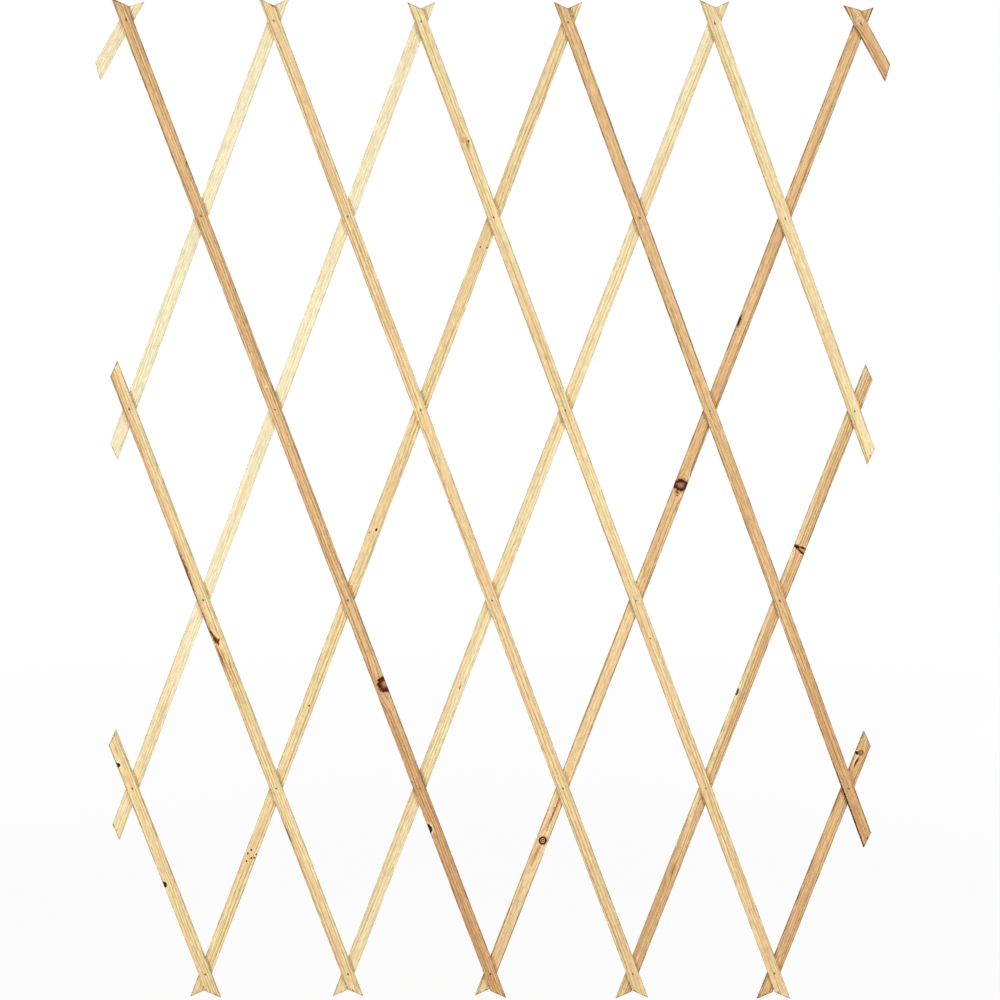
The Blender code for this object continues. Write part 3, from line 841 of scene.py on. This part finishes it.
def pine(slat, number):
    """Sawn pine in the tones of the slat's board, with its rings, knots and marks."""
    wood_plan = BOARDS[slat.name]
    first, second = TONES[wood_plan.first], TONES[wood_plan.second]
    made, tree = new_material(f"sawn pine, {wood_plan.first}, {slat.name}")
    chance = random.Random(number)
    heart = (chance.choice((-1, 1)) * chance.uniform(*HEART_ASIDE), chance.uniform(*HEART_BEHIND), 0.0)
    board = add(tree, "Attribute", attribute_name="board").node.outputs["Vector"]
    place = add(tree, "VectorMath", {0: board, "Scale": 1.0 / MM}, operation="SCALE")
    x, y, z = add(tree, "SeparateXYZ", {0: place}).node.outputs
    # How far each point is darkened as a sawn end, partly as painted shade.
    sawn = end_shade_and_stain(tree, slat, number, x, z)
    change = (slat.low_row - wood_plan.row) * PITCH / MM * wood_plan.slope + wood_plan.across
    border = add(tree, "Math", {0: z, 1: wood_plan.slope, 2: x}, operation="MULTIPLY_ADD")
    border = add(tree, "MapRange", {0: border, 1: change - BORDER, 2: change + BORDER})
    tones = {}
    for title in ("spring", "summer", "blush", "edge_brown"):
        pair = {"A": linear(getattr(second, title)), "B": linear(getattr(first, title))}
        tones[title] = add(tree, "Mix", {"Factor": border, **pair}, data_type="RGBA")
    bent = place
    spots = []
    for knot in (Knot(*mark) for mark in KNOTS.get(slat.name, ())):
        height = (slat.low_row - knot.row) * PITCH / MM
        spot = {"Centre": (knot.across, 0.0, height), "Radii": (knot.wide, THROUGH, knot.long),
                "Turn": math.radians(knot.turn)}
        spots.append((knot.kind, spot))
        bent = add(tree, "Group", {"Place": bent, **spot}, node_tree=knot_pull)
    rings = add(tree, "Group",
                {"Place": bent, "Heart": heart, "Spacing": chance.uniform(*RING_SPACING),
                 "Run-out": chance.uniform(-RUN_OUT, RUN_OUT), "Seed": WOOD_SEED * number,
                 "Spring": tones["spring"], "Summer": tones["summer"], "Blush": tones["blush"]},
                node_tree=growth_rings)
    wood, summer = rings.node.outputs
    for kind, spot in spots:
        wood = add(tree, "Group", {"Wood": wood, "Place": place, **spot},
                   node_tree=knot_faces[kind])
    wood = add(tree, "Group",
               {"Wood": wood, "Place": place, "Sawn": sawn, "Edge": first.edge,
                "Edge Brown": tones["edge_brown"], "Seed": WOOD_SEED * number}, node_tree=shade_and_marks)
    in_spring, in_summer = ROUGHNESS
    rough = add(tree, "MapRange", {0: summer, 3: in_spring, 4: in_summer})
    relief = add(tree, "Bump", {"Strength": RELIEF_STRENGTH, "Distance": RELIEF, "Height": summer})
    shader = add(tree, "BsdfPrincipled", {"Base Color": wood, "Roughness": rough,
                                          "Specular IOR Level": SHEEN, "Normal": relief})
    add(tree, "OutputMaterial", {"Surface": shader})
    return made


print("pine ready")

# %% [markdown]
# The sixteen slats.
# Now each slat of the frame is grown in turn. Its lean, its place, its pins and its ends were
# read from the frame, and it rides on the same body, so the hinges still fit. What the slats
# share are the small shapes of wear: the softened arris, the wander of the edges, and the dent
# and the seat round each rivet. The tip of one slat is chipped off level.

# %% Grow the slats
pin_low, pin_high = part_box("rivet_row6_3")
HEAD_RADIUS = (pin_high.x - pin_low.x) / 2
SHAPE_SEED = 3.0
RING_STEP = 9.0 * MM
CHIPPED = {"back_slat_6": 4.0 * MM}
growing = slat_tree()
common = {"Width": WIDTH, "Thickness": THICKNESS, "Arris": 0.6 * MM, "Wander": 0.8 * MM,
          "Dent": (1.5 * MM, 0.8 * MM, 2.9 * MM), "Dent Lift": 0.45 * MM,
          "Bore Radius": 0.9 * MM, "Seat Radius": HEAD_RADIUS + 0.12 * MM, "Seat Depth": 1.0 * MM}
triangles = 0
for number, slat in enumerate(slats):
    length = slat.corners["Upper Left"] - slat.corners["Lower Left"]
    values = dict(common, **slat.corners)
    values.update({"Rings": int(length / RING_STEP), "Seed": SHAPE_SEED * number, "Side": slat.side,
                   "Lean": slat.lean, "Place": tuple(slat.place), "Wood": pine(slat, number),
                   "Chip": CHIPPED.get(slat.name, 0.0)})
    piece = grow("pine_" + slat.name, growing, [(0.0, 0.0, z) for z in slat.pins], values)
    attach(piece, body_of[slat.name])
    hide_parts(slat.name)
    triangles += sum(len(face.vertices) - 2 for face in piece.data.polygons)
print("pine slats:", len(slats), "with", triangles, "triangles")

# %% [markdown]
# The rivets.
# Each rivet is a soft steel wire pin with a countersunk head at both ends, peened over until it
# sits just below the wood. All are alike, so one is made and put on every crossing. It is a
# line through both layers, swept by a circle, and two curves say how far along the line each
# ring sits and how wide it is: a low dome, the edge of the head, the cone, then the shank.

# %% A tree that grows the rivets of one body
RIVET_LENGTH = pin_high.y - pin_low.y
HEAD_RINGS = ((0.0, 0.30), (0.03, 0.72), (0.10, 1.04), (0.22, 1.24), (0.34, 1.30), (0.42, 1.28), (0.90, 0.80))
RIVET_SIDES = 20
RIVET_CRISP = math.radians(50.0)
CURVE_TOP = 2.0


def rivet_tree():
    """One rivet, built from rings in millimetres and put on every crossing that is given."""
    tree, given = new_group("rivet", "GeometryNodeTree", {"Crossings": "Geometry", "Length": "Float",
                                                          "Steel": "Material"}, {"Rivets": "Geometry"})
    rings = [(depth * MM / RIVET_LENGTH, radius / CURVE_TOP) for depth, radius in HEAD_RINGS]
    rings += [(1.0 - share, radius) for share, radius in reversed(rings)]
    start = add(tree, "GeometryNodeCurvePrimitiveLine", {"End": (0.0, 1.0, 0.0)})
    spine = add(tree, "GeometryNodeResampleCurve", {"Curve": start, "Count": len(rings)})
    share = add(tree, "Math", {0: add(tree, "GeometryNodeInputIndex"), 1: len(rings) - 1.0},
                operation="DIVIDE")
    curves = []
    for values in zip(*rings):
        curve = add(tree, "FloatCurve", {"Value": share})
        fill_curve(curve, [(step / (len(values) - 1), value) for step, value in enumerate(values)], "VECTOR")
        curves.append(curve)
    along, wide = curves
    along = add(tree, "Math", {0: along, 1: 0.5}, operation="SUBTRACT")
    along = add(tree, "Math", {0: along, 1: given["Length"]}, operation="MULTIPLY")
    spine = add(tree, "GeometryNodeSetPosition",
                {"Geometry": spine, "Position": add(tree, "CombineXYZ", {1: along})})
    wide = add(tree, "Math", {0: wide, 1: CURVE_TOP * MM}, operation="MULTIPLY")
    round_bar = add(tree, "GeometryNodeCurvePrimitiveCircle", {"Resolution": RIVET_SIDES, "Radius": 1.0})
    rivet = add(tree, "GeometryNodeCurveToMesh",
                {"Curve": spine, "Profile Curve": round_bar, "Scale": wide, "Fill Caps": True})
    rivet = keep_crisp(tree, rivet, RIVET_CRISP)
    rivet = add(tree, "GeometryNodeInstanceOnPoints", {"Points": given["Crossings"], "Instance": rivet})
    rivet = add(tree, "GeometryNodeRealizeInstances", {"Geometry": rivet})
    rivet = add(tree, "GeometryNodeSetMaterial", {"Geometry": rivet, "Material": given["Steel"]})
    add(tree, "NodeGroupOutput", {0: rivet})
    return tree


print("rivet tree ready")

# %% [markdown]
# Steel.
# The rivets are bare annealed wire, hammered over with a punch. Damp wood rusts such steel in
# specks, so a head looks dull and dark brown rather than bright. One noise mixes the two: where
# it is rusty, the surface is browner, rougher and hardly metallic. Real specks are finer, and
# are drawn almost a millimetre wide to show at all.

# %% Steel of the rivets
SPECK = 0.9 * MM
RUST_NOISE = (0.42, 0.62)
BARE_STEEL = ("#8a6f55", 1.0, 0.42)
RUSTED = ("#6b3c1d", 0.2, 0.8)


def steel():
    """Annealed steel wire, peened: a dull dark brown-grey metal with specks of rust."""
    made, tree = new_material("annealed steel wire, peened")
    place = add(tree, "TexCoord").node.outputs["Object"]
    specks = add(tree, "TexNoise", {"Vector": place, "Scale": 1.0 / SPECK, "Detail": 3.0})
    low, high = RUST_NOISE
    rust = add(tree, "MapRange", {0: specks, 1: low, 2: high})
    (bare_brown, bare_metal, bare_rough), (brown, metal, rough) = BARE_STEEL, RUSTED
    colour = add(tree, "Mix", {"Factor": rust, "A": linear(bare_brown), "B": linear(brown)},
                 data_type="RGBA")
    metal = add(tree, "MapRange", {0: rust, 3: bare_metal, 4: metal})
    rough = add(tree, "MapRange", {0: rust, 3: bare_rough, 4: rough})
    shader = add(tree, "BsdfPrincipled",
                 {"Base Color": colour, "Metallic": metal, "Roughness": rough})
    add(tree, "OutputMaterial", {"Surface": shader})
    return made


peening = rivet_tree()
wire = steel()
for body, nodes in bodies.items():
    pins = [node for node in nodes if node in rivets]
    if not pins:
        continue
    piece = grow("steel_rivets_" + body, peening, [tuple(rivets[node]) for node in pins],
                 {"Length": RIVET_LENGTH, "Steel": wire})
    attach(piece, body)
    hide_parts(*pins)
print("rivets:", len(rivets))
